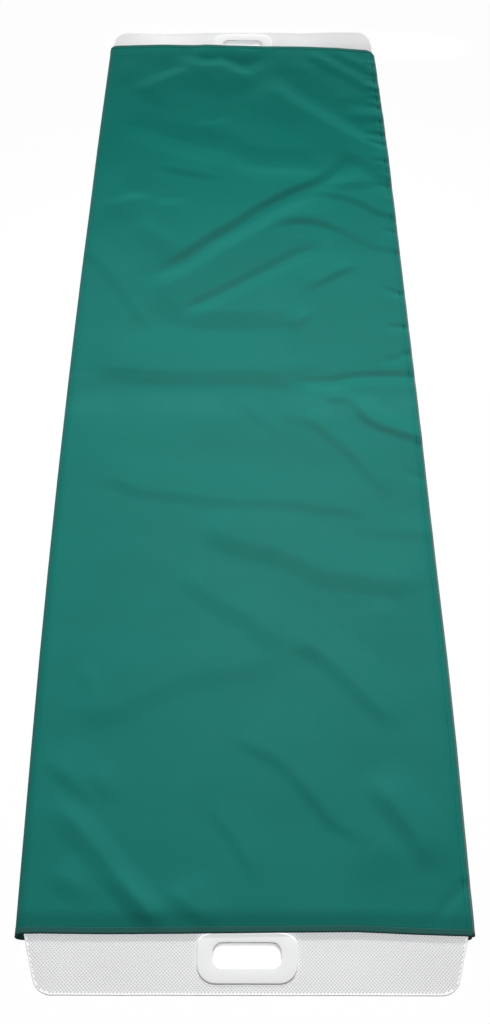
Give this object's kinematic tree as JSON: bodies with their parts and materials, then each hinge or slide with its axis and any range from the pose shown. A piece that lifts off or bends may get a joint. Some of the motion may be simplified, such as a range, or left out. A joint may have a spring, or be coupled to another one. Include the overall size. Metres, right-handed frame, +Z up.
{
  "type": "folding transfer board",
  "caption": "Folding patient transfer board: padded plastic halves hinged across the middle in a loose slippery fabric sleeve, with a hand slot in each end tab.",
  "frame": {"origin": "middle of the underside: halfway along, halfway across, on the surface the board lies on", "axes": "+X across the board towards the cover's sewn side, +Y along it towards the far half, +Z up"},
  "size_m": [0.5, 1.75, 0.023],
  "materials": {
    "board": "white plastic sheet with a fine raised diamond lattice",
    "grip": "smooth satin white moulding",
    "foam": "closed-cell foam",
    "tape": "woven tape",
    "cover": "smooth slippery coated nylon, slightly creased",
    "binding": "folded binding tape, stitched"
  },
  "bodies": {
    "near_half": {"near_board": "board", "near_grip_top": "grip", "near_grip_bottom": "grip", "near_pad_top": "foam", "near_pad_bottom": "foam", "near_hinge_leaf": "tape", "near_cover": "cover", "near_mouth_binding": "binding", "near_seam_binding": "binding"},
    "far_half": {"far_board": "board", "far_grip_top": "grip", "far_grip_bottom": "grip", "far_pad_top": "foam", "far_pad_bottom": "foam", "far_hinge_leaf": "tape", "far_cover": "cover", "far_mouth_binding": "binding", "far_seam_binding": "binding"}
  },
  "joints": [
    {"name": "fold", "type": "hinge", "parent": "near_half", "child": "far_half", "pos_m": [0, 0, 0.0233], "axis": [1, 0, 0], "range_deg": [0, 180]}
  ]
}
